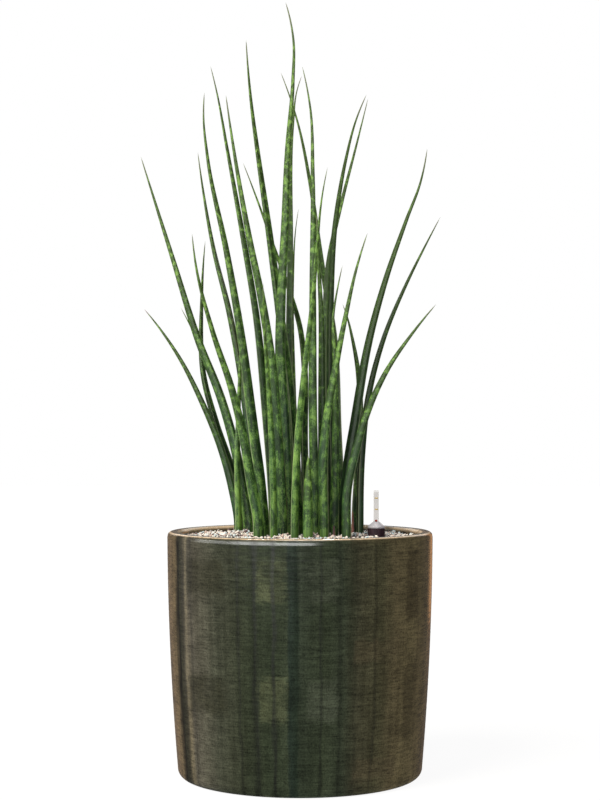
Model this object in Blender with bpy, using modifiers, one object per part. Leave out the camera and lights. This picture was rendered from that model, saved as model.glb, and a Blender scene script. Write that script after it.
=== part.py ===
"""Cylindrical snake plant standing in a glazed cylinder planter.

Twenty-nine channelled, tapering leaves rise from one root mass that is bedded in mineral
granulate. A water gauge with a sliding float stands in the granulate beside them.
The origin is the centre of the planter's flat underside, +Z is up and -Y is the front.
"""

import math
import random

import bmesh
import bpy
from mathutils import Matrix, Vector
from mathutils.geometry import delaunay_2d_cdt, interpolate_bezier

MM = 0.001
GAP = 0.3 * MM

# Planter: a thrown stoneware cylinder that widens from its foot and is nearly upright at its rim.
RIM_HEIGHT = 278.4 * MM
RIM_RADIUS = 151 * MM
FOOT_RADIUS = 138 * MM
WALL_BULGE = 11.6 * MM
WALL = 15 * MM
FLOOR = 14 * MM
LIP_ROUND = 5.5 * MM
FOOT_ROUND = 11 * MM
INSIDE_ROUND = 12 * MM
PLANTER_STEPS = 56

# Granulate: the rubble that fills the planter, with its grains as relief on top. The bed is
# level but for a few low heaps in front of the leaves: (x, y, rise, radius) of each.
BED_TOP = 270 * MM
HEAPS = [
    (-70 * MM, 3 * MM, 6.5 * MM, 20 * MM),
    (-17 * MM, -26 * MM, 4 * MM, 12 * MM),
    (20 * MM, -14 * MM, 5.5 * MM, 13 * MM),
    (62 * MM, -12 * MM, 5 * MM, 12 * MM),
]
GRAIN_SPACING = 11.5 * MM
GRAIN_RISE = 2.6 * MM
GRAIN_DROP = 1.6 * MM
GRAIN_SCATTER = 1.6 * MM
BED_EDGE_DROP = 2.5 * MM

# Root mass: the packed rhizomes and roots under the leaves.
ROOT_TOP = 243.7 * MM
ROOT_BOTTOM = 70 * MM
ROOT_LONG_RADIUS = 77 * MM
ROOT_SHORT_RADIUS = 76 * MM
ROOT_SETBACK = 14 * MM
ROOT_STEPS = 28

# Water gauge: a dark chamber down to the planter's floor, a clear head and a float.
GAUGE_X = 86.5 * MM
GAUGE_Y = -10 * MM
CHAMBER_RADIUS = 9.8 * MM
CHAMBER_BORE = 7.4 * MM
CHAMBER_TOP = 281.9 * MM
SHOULDER_START = 284.2 * MM
SHOULDER_END = 289.8 * MM
SIGHT_TOP = 325 * MM
SIGHT_RADIUS = 3.1 * MM
SIGHT_BORE = 2.2 * MM
SIGHT_BEVEL = 0.5 * MM
FLOAT_RADIUS = 5.6 * MM
FLOAT_LENGTH = 52 * MM
ROD_RADIUS = 0.8 * MM
BEAD_RADIUS = 1.5 * MM
BEAD_HEIGHT = 290.3 * MM
GAUGE_STEPS = 20
FLOAT_STEPS = 12

# Leaves: all share one section. A leaf is upright in the granulate, and above LEAF_START it
# bends through its own points.
LEAF_FOOT = ROOT_TOP + GAP
LEAF_START = 281 * MM
RING_SPACING = 44 * MM
SECTION_POINTS = 9
CHANNEL_EDGE = math.radians(55)
LEAF_THICKNESS = 0.8
CHANNEL_DEPTH = 0.75
TIP_SHARE = 0.08
TIP_LENGTH = 5 * MM
HOLE_GAP = 0.45 * MM
HOLE_TOP = 290 * MM
# A leaf that starts in front of the clump's middle leans forward as it rises, and one behind
# leans back: its distance from the middle grows by (rise / FAN_HEIGHT) ** FAN_POWER of itself.
CLUMP_MIDDLE = 8 * MM
FAN_HEIGHT = 360 * MM
FAN_POWER = 1.6
# The points below are as seen from this eye, on the upright plane through the planter's axis.
EYE_DISTANCE = 2109 * MM
EYE_HEIGHT = 405.6 * MM

# Each row is a leaf's name, width, taper (how blunt it is: 1.6 is common), depth at its foot
# (minus is the front) and the direction that its channel faces in degrees from +X, and then
# where it stands and the points that it passes through, from foot to tip, in millimetres.
LEAVES = [
    ("leaf_01", 11.8, 1.8, 38, 20,
     -70.5, [(-77, 325), (-89.5, 371), (-112, 426), (-137, 475), (-177.5, 531)]),
    ("leaf_02", 9, 1.8, 12, 155,
     -70, [(-71.5, 348), (-70.5, 405), (-68, 473), (-66.5, 527)]),
    ("leaf_03", 10.5, 2, 50, -30,
     -65, [(-76, 342), (-96, 402), (-109.5, 453), (-112, 541), (-108, 609)]),
    ("leaf_04", 8, 1.6, 60, -60,
     -62, [(-66, 325), (-81, 401), (-92, 439), (-110.5, 482), (-136, 533)]),
    ("leaf_05", 14, 1.6, 26, 30,
     -59, [(-65, 325), (-73.5, 371), (-89.5, 428), (-116, 496), (-144.5, 587), (-181.5, 705)]),
    ("leaf_06", 12, 2.2, 42, -20,
     -50, [(-55, 359), (-68, 462), (-81, 530), (-98, 598), (-110.5, 667), (-116.5, 710)]),
    ("leaf_07", 13.5, 1.3, -33, 140,
     -47, [(-56, 336), (-66, 393), (-77.5, 439), (-100, 507), (-119, 583), (-123, 617)]),
    ("leaf_08", 14.5, 1.6, -4, 150,
     -41.5, [(-44.5, 325), (-53, 393), (-66.5, 496), (-84, 598), (-105, 701), (-110, 752), (-109, 778)]),
    ("leaf_09", 12.5, 2, 15, 160,
     -31, [(-40.5, 428), (-49.5, 519), (-64.5, 610), (-83, 713), (-95.5, 781), (-102, 808)]),
    ("leaf_10", 9.1, 2, -30, 150,
     -30, [(-31.5, 359), (-36.5, 450), (-41.5, 524), (-42, 561)]),
    ("leaf_11", 13.1, 1.8, -12, 60,
     -20.5, [(-25.5, 382), (-33, 473), (-43.5, 541), (-57.5, 610), (-75.5, 713), (-84.5, 775)]),
    ("leaf_12", 16, 1.6, 9, 35,
     -14.5, [(-17.5, 393), (-22.5, 485), (-21.5, 541), (-17.5, 621), (-14, 713),
             (-8, 792), (-7.5, 838), (-16.5, 881)]),
    ("leaf_13", 9.5, 2.2, 40, -90,
     -12, [(-12.5, 428), (-11, 598), (-8, 741), (-3.5, 780), (2, 797)]),
    ("leaf_14", 10.3, 1.8, -30, 150,
     -6, [(-2.5, 382), (6.5, 473), (14.5, 541), (19.5, 604), (26, 665), (31.5, 693)]),
    ("leaf_15", 6.8, 1.6, 54, -70,
     -6, [(-6.5, 405), (-8, 564), (-4, 630), (-1.5, 646)]),
    ("leaf_16", 14.2, 1.8, 30, -40,
     0, [(-3.5, 325), (-10.5, 428), (-23.5, 530), (-35.5, 621), (-47, 701), (-56, 770), (-61.5, 838)]),
    ("leaf_17", 9.7, 1.6, 47, -60,
     7, [(5, 382), (5, 467), (0, 510), (-12.5, 553), (-29.5, 601), (-50, 659), (-65, 698)]),
    ("leaf_18", 11.3, 3, -35, 75,
     9, [(9, 314), (9.5, 366)]),
    ("leaf_19", 11.3, 1.9, 1, 45,
     16.5, [(14.5, 428), (14.5, 564), (14.5, 684), (11.5, 762), (2.5, 808)]),
    ("leaf_20", 11.6, 2.2, 15, 30,
     25.5, [(25, 428), (23.5, 541), (20.5, 593), (19, 640)]),
    ("leaf_21", 13, 1.5, -24, 40,
     26.5, [(26, 348), (29.5, 399), (40, 462), (53.5, 530), (64, 576), (77, 618)]),
    ("leaf_22", 9.7, 1.8, 46, -110,
     31, [(29, 485), (33, 587), (48, 655), (63, 713), (77.5, 771)]),
    ("leaf_23", 13.2, 2.1, 27, 200,
     37, [(33.5, 473), (34.5, 541), (40.5, 633), (52, 701), (64, 747), (76, 776)]),
    ("leaf_24", 10.3, 1.3, -3, 60,
     38.5, [(40.5, 382), (39.5, 473), (38, 524), (42.5, 553), (48.5, 581)]),
    ("leaf_25", 10.3, 1.6, 57, -80,
     47, [(43, 393), (39, 496), (24.5, 585), (11, 678), (-3.5, 747), (-22, 801)]),
    ("leaf_26", 14.5, 1.6, 11, 25,
     50.5, [(53.5, 342), (63, 405), (79, 496), (97.5, 564), (121.5, 633), (137.5, 676), (145, 714)]),
    ("leaf_27", 11.8, 1.6, -30, 35,
     53, [(54, 325), (64, 371), (77, 414), (99.5, 462), (127, 502), (155.5, 537)]),
    ("leaf_28", 11, 1.9, 46, -120,
     64, [(67.5, 371), (66, 462), (60, 496), (53.5, 523), (48.5, 537)]),
    ("leaf_29", 11.5, 2, 22, 190,
     68, [(70.5, 371), (77, 428), (94.5, 496), (123, 564), (140, 598), (160, 636)]),
]

COLOURS = {
    "planter": ((0.035, 0.040, 0.022), 0.25),
    "granulate": ((0.55, 0.50, 0.46), 0.9),
    "root_mass": ((0.25, 0.15, 0.08), 0.95),
    "leaf": ((0.055, 0.125, 0.040), 0.5),
    "gauge_chamber": ((0.035, 0.020, 0.032), 0.35),
    "gauge_head": ((0.80, 0.80, 0.85), 0.1),
    "gauge_float": ((0.50, 0.01, 0.01), 0.4),
}


def clear_scene():
    for obj in list(bpy.data.objects):
        bpy.data.objects.remove(obj)


def new_collection(name):
    collection = bpy.data.collections.new(name)
    bpy.context.scene.collection.children.link(collection)
    return collection


def material(name, finish):
    colour, roughness = COLOURS[finish]
    made = bpy.data.materials.new(name)
    made.use_nodes = True
    shader = made.node_tree.nodes["Principled BSDF"]
    shader.inputs["Base Color"].default_value = (*colour, 1)
    shader.inputs["Roughness"].default_value = roughness
    shader.inputs["Metallic"].default_value = 0
    return made


def add_object(name, mesh, collection, finish=None):
    obj = bpy.data.objects.new(name, mesh)
    collection.objects.link(obj)
    if finish:
        mesh.materials.append(material(name, finish))
        mesh.shade_smooth()
    else:
        obj.hide_render = True
        obj.display_type = "WIRE"
    return obj


def turned(name, profile, steps, collection, finish=None):
    """A solid turned about Z from (radius, height) points that run down its outer side."""
    mesh = bpy.data.meshes.new(name)
    edges = [(i, i + 1) for i in range(len(profile) - 1)]
    mesh.from_pydata([(radius, 0, height) for radius, height in profile], edges, [])
    obj = add_object(name, mesh, collection, finish)
    screw = obj.modifiers.new("Turn", "SCREW")
    screw.steps = steps
    screw.render_steps = steps
    screw.use_merge_vertices = True
    screw.merge_threshold = 0.01 * MM
    screw.use_smooth_shade = True
    return obj


def arc(centre, radii, start, end, count):
    """Points on a quarter of an ellipse, from start to end degrees."""
    points = []
    for i in range(count):
        angle = math.radians(start + (end - start) * i / (count - 1))
        points.append((centre[0] + radii[0] * math.cos(angle), centre[1] + radii[1] * math.sin(angle)))
    return points


def outer_radius(height):
    share = height / RIM_HEIGHT
    flare = (RIM_RADIUS - FOOT_RADIUS) * share
    return FOOT_RADIUS + flare + WALL_BULGE * share * (1 - share)


def inner_radius(height):
    return outer_radius(height) - WALL


def between(low, high, count):
    """Heights inside the stretch from low to high, both ends left out."""
    return [low + (high - low) * (i + 1) / (count + 1) for i in range(count)]


def inside_profile(inset, top):
    """The planter's inside from the middle of its floor up to a height, drawn in by inset."""
    floor = FLOOR + inset
    wall_foot = FLOOR + INSIDE_ROUND
    corner = (inner_radius(wall_foot) - INSIDE_ROUND, wall_foot)
    rounding = INSIDE_ROUND - inset
    points = [(0, floor)] + arc(corner, (rounding, rounding), -90, 0, 4)
    points += [(inner_radius(z) - inset, z) for z in between(wall_foot, top, 2)]
    return points


def add_planter(parts):
    lip_height = RIM_HEIGHT - LIP_ROUND
    outside_lip = (outer_radius(lip_height) - LIP_ROUND, lip_height)
    inside_lip = (inner_radius(lip_height) + LIP_ROUND, lip_height)
    foot = (outer_radius(FOOT_ROUND) - FOOT_ROUND, FOOT_ROUND)
    lip = (LIP_ROUND, LIP_ROUND)
    profile = inside_profile(0, lip_height)
    profile += arc(inside_lip, lip, 180, 90, 4)
    profile += arc(outside_lip, lip, 90, 0, 4)
    profile += [(outer_radius(z), z) for z in reversed(between(FOOT_ROUND, lip_height, 4))]
    profile += arc(foot, (FOOT_ROUND, FOOT_ROUND), 0, -90, 4)
    profile.append((0, 0))
    return turned("planter", profile, PLANTER_STEPS, parts, "planter")


def bed_height(x, y):
    """The granulate's level: flat, with its heaps as bell curves that add up."""
    level = BED_TOP
    for heap_x, heap_y, rise, radius in HEAPS:
        level += rise * math.exp(-((math.hypot(x - heap_x, y - heap_y) / radius) ** 2))
    return level


def grain_points(radius):
    """(x, y, z) of the relief: a jittered triangular lattice in which one point in three is
    the crown of a grain and the other two are the hollows between grains."""
    draw = random.Random(7)
    step = GRAIN_SPACING / math.sqrt(3)
    row_height = step * math.sqrt(3) / 2
    points = []
    rows = int(radius / row_height) + 1
    columns = int(radius / step) + 1
    for row in range(-rows, rows + 1):
        for column in range(-columns, columns + 1):
            x = (column + 0.5 * (row % 2)) * step
            y = row * row_height
            crown = (column - (row // 2) - 2 * (row % 2)) % 3 == 0
            x += draw.uniform(-1, 1) * GRAIN_SCATTER
            y += draw.uniform(-1, 1) * GRAIN_SCATTER
            rise = draw.uniform(0.6, 1.3) * GRAIN_RISE if crown else -draw.uniform(0.2, 1) * GRAIN_DROP
            if math.hypot(x, y) < radius:
                points.append((x, y, bed_height(x, y) + rise))
    return points


def add_granulate(parts, cutters):
    """The bed: a relief of grains on top, and the planter's inside all the way down."""
    rim_height = BED_TOP - BED_EDGE_DROP
    side = inside_profile(GAP, rim_height)[1:]
    side.append((inner_radius(rim_height) - GAP, rim_height))
    mesh = bpy.data.meshes.new("granulate")
    shape = bmesh.new()
    turns = [math.tau * i / PLANTER_STEPS for i in range(PLANTER_STEPS)]
    rings = []
    for radius, height in side:
        rings.append([shape.verts.new((radius * math.cos(a), radius * math.sin(a), height)) for a in turns])
    for low, high in zip(rings, rings[1:]):
        for i in range(PLANTER_STEPS):
            j = (i + 1) % PLANTER_STEPS
            shape.faces.new((low[i], low[j], high[j], high[i]))
    shape.faces.new(list(reversed(rings[0])))

    grains = grain_points(side[-1][0] - GRAIN_SPACING / 3)
    edge = [Vector(v.co.xy) for v in rings[-1]]
    flat = edge + [Vector((x, y)) for x, y, _ in grains]
    loop = [(i, (i + 1) % PLANTER_STEPS) for i in range(PLANTER_STEPS)]
    _, _, faces, origins, _, _ = delaunay_2d_cdt(flat, loop, [], 1, 1e-7)
    top = rings[-1] + [shape.verts.new(point) for point in grains]
    for face in faces:
        shape.faces.new([top[origins[i][0]] for i in face])
    bmesh.ops.recalc_face_normals(shape, faces=shape.faces)
    shape.to_mesh(mesh)
    shape.free()
    bed = add_object("granulate", mesh, parts, "granulate")
    cut = bed.modifiers.new("Stand in it", "BOOLEAN")
    cut.operation = "DIFFERENCE"
    cut.operand_type = "COLLECTION"
    cut.collection = cutters
    return bed


def root_profile(spread):
    """The root mass from the middle of its top down to its underside, swollen by spread."""
    top = ROOT_TOP + spread
    shoulder = 10 * MM
    belly = ROOT_LONG_RADIUS + spread
    foot_round = 45 * MM
    points = [(0, top), (belly - shoulder, top)]
    points += arc((belly - shoulder, top - shoulder), (shoulder, shoulder), 60, 0, 2)
    foot = (belly - foot_round, ROOT_BOTTOM + foot_round)
    points += arc(foot, (foot_round, foot_round + spread), 0, -90, 4)
    points.append((0, ROOT_BOTTOM - spread))
    return points


def add_root_mass(parts, cutters):
    root = turned("root_mass", root_profile(0), ROOT_STEPS, parts, "root_mass")
    hollow = turned("root_hollow", root_profile(1.3 * GAP), ROOT_STEPS, cutters)
    for obj in (root, hollow):
        obj.scale.y = ROOT_SHORT_RADIUS / ROOT_LONG_RADIUS
        obj.location.y = ROOT_SETBACK


def add_gauge(parts, cutters):
    """Three turned pieces on one axis, of which the float slides up and down."""
    seat = FLOOR + GAP
    chamber = [
        (CHAMBER_BORE, CHAMBER_TOP),
        (CHAMBER_RADIUS, CHAMBER_TOP),
        (CHAMBER_RADIUS, seat),
        (CHAMBER_BORE, seat),
        (CHAMBER_BORE, CHAMBER_TOP),
    ]
    turned("gauge_chamber", chamber, GAUGE_STEPS, parts, "gauge_chamber")

    wall = SIGHT_RADIUS - SIGHT_BORE
    head_foot = CHAMBER_TOP + GAP
    bore_top = SIGHT_TOP - 2 * wall
    head = [
        (0, SIGHT_TOP),
        (SIGHT_RADIUS - SIGHT_BEVEL, SIGHT_TOP),
        (SIGHT_RADIUS, SIGHT_TOP - SIGHT_BEVEL),
        (SIGHT_RADIUS, SHOULDER_END),
        (CHAMBER_RADIUS, SHOULDER_START),
        (CHAMBER_RADIUS, head_foot),
        (CHAMBER_RADIUS - 1.6 * wall, head_foot),
        (CHAMBER_RADIUS - 1.6 * wall, SHOULDER_START - wall),
        (SIGHT_BORE, SHOULDER_END - 1.2 * wall),
        (SIGHT_BORE, bore_top),
        (0, bore_top),
    ]
    turned("gauge_head", head, GAUGE_STEPS, parts, "gauge_head")

    float_foot = seat + GAP
    float_top = float_foot + FLOAT_LENGTH
    bead_foot = BEAD_HEIGHT - BEAD_RADIUS
    bead = arc((0, BEAD_HEIGHT), (BEAD_RADIUS, BEAD_RADIUS), 90, -50, 5)
    body = [
        (ROD_RADIUS, bead_foot),
        (ROD_RADIUS, float_top + FLOAT_RADIUS),
        (FLOAT_RADIUS, float_top),
        (FLOAT_RADIUS, float_foot + 1 * MM),
        (FLOAT_RADIUS - 1 * MM, float_foot),
        (0, float_foot),
    ]
    turned("gauge_float", bead + body, FLOAT_STEPS, parts, "gauge_float")

    bore_radius = CHAMBER_RADIUS + HOLE_GAP
    bore = [(0, HOLE_TOP), (bore_radius, HOLE_TOP), (bore_radius, FLOOR - GAP), (0, FLOOR - GAP)]
    turned("gauge_bore", bore, GAUGE_STEPS, cutters)
    for name in ("gauge_chamber", "gauge_head", "gauge_float", "gauge_bore"):
        bpy.data.objects[name].location = (GAUGE_X, GAUGE_Y, 0)


def seen(x, height, depth):
    """The point at that depth which the eye sees at (x, height) on the plane of the axis."""
    scale = 1 + depth / EYE_DISTANCE
    return Vector((x * scale, depth, EYE_HEIGHT + (height - EYE_HEIGHT) * scale))


def depth_at(foot_depth, height):
    rise = (height - LEAF_START) / FAN_HEIGHT
    return foot_depth + (foot_depth - CLUMP_MIDDLE) * max(rise, 0) ** FAN_POWER


def leaf_path(foot_x, foot_depth, points):
    """Evenly spaced points from the granulate to the tip: a smooth curve through the leaf's own
    points, upright where it starts, and worked out as one cubic stretch between each two."""
    foot = seen(foot_x * MM, LEAF_START, foot_depth)
    knots = [Vector((foot.x, foot.y, LEAF_START))]
    for x, z in points:
        knots.append(seen(x * MM, z * MM, depth_at(foot_depth, z * MM)))
    chords = [(b - a).length for a, b in zip(knots, knots[1:])]
    slopes = [Vector((0, 0, 1))]
    for i in range(1, len(knots) - 1):
        before = (knots[i] - knots[i - 1]) / chords[i - 1]
        after = (knots[i + 1] - knots[i]) / chords[i]
        share = chords[i - 1] / (chords[i - 1] + chords[i])
        slopes.append(before * (1 - share) + after * share)
    last = (knots[-1] - knots[-2]) / chords[-1]
    slopes.append(2 * last - slopes[-1])

    fine = [knots[0]]
    for i, chord in enumerate(chords):
        reach = chord / 3
        handles = (knots[i], knots[i] + slopes[i] * reach, knots[i + 1] - slopes[i + 1] * reach, knots[i + 1])
        fine += interpolate_bezier(*handles, 24)[1:]
    run = [0]
    for a, b in zip(fine, fine[1:]):
        run.append(run[-1] + (b - a).length)

    def at(distance):
        i = next((k for k in range(1, len(run)) if run[k] >= distance), len(run) - 1)
        share = (distance - run[i - 1]) / (run[i] - run[i - 1])
        return fine[i - 1].lerp(fine[i], share)

    length = run[-1]
    count = math.ceil(length / RING_SPACING) + 2
    stations = [i / count * (length - TIP_LENGTH) for i in range(count + 1)]
    return [at(s) for s in stations] + [at(length)], [s / length for s in stations]


def leaf_section(width, along):
    """(across, towards the channel) of the section at that share of the leaf's length: an
    ellipse, open on one side as a channel that closes towards the tip."""
    half_width = width / 2
    half_thickness = half_width * LEAF_THICKNESS
    points = []
    for i in range(SECTION_POINTS):
        turn = CHANNEL_EDGE + (math.tau - 2 * CHANNEL_EDGE) * i / (SECTION_POINTS - 1)
        points.append((half_width * math.sin(turn), half_thickness * math.cos(turn)))
    points.append((0, half_thickness * (1 - CHANNEL_DEPTH * (1 - along**2))))
    return points


def leaf_width(width, taper, along):
    return width * (TIP_SHARE + (1 - TIP_SHARE) * (1 - along**taper))


def loft(name, rings, apex, collection, finish=None):
    """A closed solid through rings of equal count, with a flat foot and a pointed or flat end."""
    shape = bmesh.new()
    loops = [[shape.verts.new(point) for point in ring] for ring in rings]
    count = len(rings[0])
    for low, high in zip(loops, loops[1:]):
        for i in range(count):
            j = (i + 1) % count
            shape.faces.new((low[i], low[j], high[j], high[i]))
    shape.faces.new(list(reversed(loops[0])))
    if apex:
        point = shape.verts.new(apex)
        for i in range(count):
            shape.faces.new((loops[-1][i], loops[-1][(i + 1) % count], point))
    else:
        shape.faces.new(loops[-1])
    bmesh.ops.recalc_face_normals(shape, faces=shape.faces)
    mesh = bpy.data.meshes.new(name)
    shape.to_mesh(mesh)
    shape.free()
    return add_object(name, mesh, collection, finish)


def add_leaf(leaf, parts, cutters):
    name, width, taper, foot_depth, facing, foot_x, points = leaf
    path, shares = leaf_path(foot_x, foot_depth * MM, points)
    channel = Vector((math.cos(math.radians(facing)), math.sin(math.radians(facing)), 0))
    foot = Vector((path[0].x, path[0].y, LEAF_FOOT))
    across = Vector((0, 0, 1)).cross(channel)
    rings = [[foot + u * across + v * channel for u, v in leaf_section(width * MM, 0)]]
    for i, along in enumerate(shares):
        ahead = path[i + 1] - path[max(i - 1, 0)] if i else Vector((0, 0, 1))
        tangent = ahead.normalized()
        towards = (channel - tangent * channel.dot(tangent)).normalized()
        across = tangent.cross(towards)
        section = leaf_section(leaf_width(width * MM, taper, along), along)
        rings.append([path[i] + u * across + v * towards for u, v in section])
    loft(name, rings, path[-1], parts, "leaf")

    hole = []
    across = Vector((0, 0, 1)).cross(channel)
    for u, v in leaf_section(width * MM + 2 * HOLE_GAP, 0)[:SECTION_POINTS]:
        hole.append(foot + u * across + (v + HOLE_GAP / 3) * channel)
    low, high = (Matrix.Translation((0, 0, z - LEAF_FOOT)) for z in (LEAF_FOOT - 5 * MM, HOLE_TOP))
    loft(name + "_hole", [[low @ p for p in hole], [high @ p for p in hole]], None, cutters)


def main():
    clear_scene()
    parts = new_collection("Snake plant in planter")
    cutters = new_collection("Cutters")
    cutters.hide_render = True
    add_planter(parts)
    add_root_mass(parts, cutters)
    add_gauge(parts, cutters)
    for leaf in LEAVES:
        add_leaf(leaf, parts, cutters)
    add_granulate(parts, cutters)


main()
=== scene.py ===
# %% [markdown]
# A cylindrical snake plant in a glazed planter.
# The imported model is the fixed frame: it says where the planter, the bed, the leaves and the water
# gauge are. This notebook dresses it. Every new piece is a surface worked out with numpy from the same
# sizes, so it lands where the solid that it stands for is.

# %% Load the frame
import math

import bmesh
import bpy
import numpy as np
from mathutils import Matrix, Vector
from mathutils.bvhtree import BVHTree


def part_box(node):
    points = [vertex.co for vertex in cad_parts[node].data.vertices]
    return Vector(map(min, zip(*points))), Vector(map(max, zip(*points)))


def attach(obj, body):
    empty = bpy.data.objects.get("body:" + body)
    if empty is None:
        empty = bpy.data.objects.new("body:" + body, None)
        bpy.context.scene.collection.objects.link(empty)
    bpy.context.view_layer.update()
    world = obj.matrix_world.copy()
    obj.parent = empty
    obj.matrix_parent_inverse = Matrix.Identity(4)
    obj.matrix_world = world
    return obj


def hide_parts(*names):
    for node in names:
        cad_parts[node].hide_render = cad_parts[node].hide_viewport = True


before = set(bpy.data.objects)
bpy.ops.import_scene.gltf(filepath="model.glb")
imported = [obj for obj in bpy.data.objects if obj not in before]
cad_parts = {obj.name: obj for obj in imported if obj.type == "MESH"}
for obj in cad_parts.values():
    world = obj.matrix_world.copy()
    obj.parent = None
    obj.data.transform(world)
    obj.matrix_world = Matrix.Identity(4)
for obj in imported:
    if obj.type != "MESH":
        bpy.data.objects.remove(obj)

MM = 0.001
HOLDER, FLOAT = "planted_planter", "float"
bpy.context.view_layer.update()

# %% [markdown]
# The camera.
# The rim's two edges in the photograph give the eye's height, and how the leaves at the back
# shrink gives its distance. The planter's sides don't lean in the picture, so the camera looks
# level, and its shift raises the picture's middle. Tilting the camera would frame the plant too,
# but would make the sides lean. The frame is upright, so the sensor's size is set on its height.

# %% Camera
EYE_DISTANCE = 2109 * MM
EYE_HEIGHT = 405.6 * MM
PICTURE_MIDDLE = 427.5 * MM
PICTURE_HEIGHT = 912 * MM
SENSOR_MM = 36

camera_data = bpy.data.cameras.new("Camera")
camera_data.sensor_fit = "VERTICAL"
camera_data.sensor_height = SENSOR_MM
camera_data.lens = SENSOR_MM * EYE_DISTANCE / PICTURE_HEIGHT
camera_data.shift_y = (PICTURE_MIDDLE - EYE_HEIGHT) / PICTURE_HEIGHT
camera = bpy.data.objects.new("Camera", camera_data)
camera.location = (0, -EYE_DISTANCE, EYE_HEIGHT)
camera.rotation_euler = (math.radians(90), 0, 0)
bpy.context.scene.collection.objects.link(camera)
bpy.context.scene.camera = camera
print("camera", round(EYE_DISTANCE, 3), "m away,", round(camera_data.lens, 1), "mm")

# %% [markdown]
# Helpers for surfaces.
# Leaves, planter and gauge could be curves with a bevel, or profiles with a Screw modifier, but
# then nothing could steer their colours point by point. So almost everything here is a grid of
# points: rows run along a piece and columns run round it. One function turns such a grid into a
# mesh. It closes the columns into a ring, caps both ends with a fan, and writes a UV map in
# metres, so that patterns keep their real scale.


# %% A grid of points becomes a mesh
def grid_mesh(name, points, uv=None, caps=(True, True)):
    """A mesh from points[row, column]: columns are closed into a ring, and faces look away
    from the ring's middle when columns turn anticlockwise about the direction of the rows.
    uv[row, column] has one more column than points, so that the ring can close in the map."""
    rows, columns = points.shape[:2]
    i, j = np.meshgrid(np.arange(rows - 1), np.arange(columns), indexing="ij")
    k = (j + 1) % columns
    here, above = i * columns, (i + 1) * columns
    faces = np.stack([here + j, here + k, above + k, above + j], -1).reshape(-1, 4).tolist()
    verts = points.reshape(-1, 3)
    ring = np.arange(columns)
    for wanted, row, order in ((caps[0], 0, -1), (caps[1], rows - 1, 1)):
        if wanted:
            middle = len(verts)
            verts = np.vstack([verts, points[row].mean(0)])
            fan = np.stack([ring + row * columns, (ring + 1) % columns + row * columns], 1)[:, ::order]
            faces += np.column_stack([fan, np.full(columns, middle)]).tolist()
    mesh = bpy.data.meshes.new(name)
    mesh.from_pydata(verts.tolist(), [], faces)
    if uv is not None:
        corner = np.stack([uv[:-1, :-1], uv[:-1, 1:], uv[1:, 1:], uv[1:, :-1]], 2).reshape(-1, 2)
        flat = np.zeros((len(mesh.loops), 2), np.float32)
        flat[: len(corner)] = corner
        layer = mesh.uv_layers.new(name="metres")
        layer.data.foreach_set("uv", flat.ravel())
    mesh.shade_smooth()
    return mesh


print("grids become meshes")


# %% A finished piece
def point_values(mesh, name, values):
    """Writes one number for each point, as an attribute that a material can read."""
    full = np.zeros(len(mesh.vertices), np.float32)
    full[: len(values)] = values
    full[len(values):] = values[-1]
    mesh.attributes.new(name, "FLOAT", "POINT").data.foreach_set("value", full)


def add_piece(name, mesh, materials, body=HOLDER, nodes=()):
    """Links a finished mesh, gives it its materials, lets it ride on its body, and hides the solids that
    it stands for."""
    piece = bpy.data.objects.new(name, mesh)
    bpy.context.scene.collection.objects.link(piece)
    for finish in materials:
        mesh.materials.append(finish)
    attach(piece, body)
    if nodes:
        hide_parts(*nodes)
    return piece


print("pieces ride on", HOLDER, "unless they say otherwise")


# %% Turned profiles
def turned(profile, steps, centre=(0, 0)):
    """points[row, column] of a profile of (radius, height) turned about a vertical axis: x and y
    are the radius times the cosine and the sine of the turn."""
    turn = np.linspace(0, 2 * np.pi, steps, endpoint=False)
    radius, height = np.asarray(profile).T[:, :, None]
    x = radius * np.cos(turn) + centre[0]
    y = radius * np.sin(turn) + centre[1]
    return np.stack([x, y, height + 0 * turn], -1)


def arc(centre, radii, start, end, count):
    """(radius, height) points on an ellipse from start to end degrees: the centre plus the radii
    times the cosine and the sine of the angle."""
    angle = np.radians(np.linspace(start, end, count))
    return np.stack([centre[0] + radii[0] * np.cos(angle), centre[1] + radii[1] * np.sin(angle)], 1)


print("a quarter round at half its turn:", arc((0, 0), (1, 1), 0, 90, 3)[1].round(3).tolist())

# %% [markdown]
# Helpers for materials.
# Colours are written as the sRGB hex values that a colour picker shows, and one function turns
# them into the linear values that a shader mixes in. One function fills the inputs of a node and
# one adds a node, so that each material reads as a list of what its surface is made of. The last
# three do what every skin here needs: a noise whose spots have a real size, a sum of such
# noises, and a colour with others laid over it. Some nodes have several inputs of one name, so
# they are given by number. On a Map Range node, 1 and 2 are the stretch of a value that it reads,
# and 3 and 4 the one that it gives. On a Mix node, 2 and 3 are two values, and 6 and 7 two colours.


# %% A colour and a node
def linear(hex_colour):
    """Linear RGBA from #rrggbb: each channel goes through the inverse of the sRGB curve."""
    srgb = np.array([int(hex_colour[i:i + 2], 16) for i in (1, 3, 5)]) / 255
    rgb = np.where(srgb <= 0.04045, srgb / 12.92, ((srgb + 0.055) / 1.055) ** 2.4)
    return (*rgb.tolist(), 1.0)


def fill(tree, node, inputs):
    """Fills a node's inputs, given by name or number. A socket is linked, and so is another
    node, by its first output. A hex colour or a number is set."""
    for key, value in inputs.items():
        if isinstance(value, bpy.types.Node):
            value = value.outputs[0]
        if isinstance(value, bpy.types.NodeSocket):
            tree.links.new(value, node.inputs[key])
        else:
            node.inputs[key].default_value = linear(value) if isinstance(value, str) else value


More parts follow.
